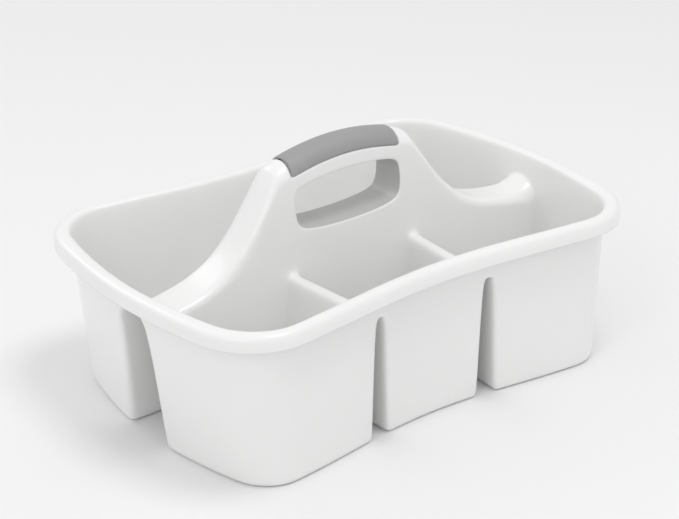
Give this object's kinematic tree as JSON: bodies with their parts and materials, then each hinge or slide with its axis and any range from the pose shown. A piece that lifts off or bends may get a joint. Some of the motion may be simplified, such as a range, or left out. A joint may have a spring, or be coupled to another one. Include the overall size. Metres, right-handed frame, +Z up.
{
  "type": "cleaning caddy",
  "caption": "Open carrying tray with divided bins around a hollow central ridge whose raised middle is a handle with a soft grip; it nests on others.",
  "frame": {"origin": "centre of the footprint, on the surface that the caddy stands on", "axes": "+X along the ridge and handle, +Y from the three small bins towards the long bin, +Z up"},
  "size_m": [0.406, 0.2902, 0.1965],
  "materials": {
    "white_moulding": "satin injection-moulded polypropylene",
    "soft_grip": "soft-touch matt",
    "grey_liner": "satin"
  },
  "bodies": {
    "root": {"caddy_body": "white_moulding", "handle_grip": "soft_grip", "hand_hole_liner": "grey_liner"}
  },
  "joints": []
}
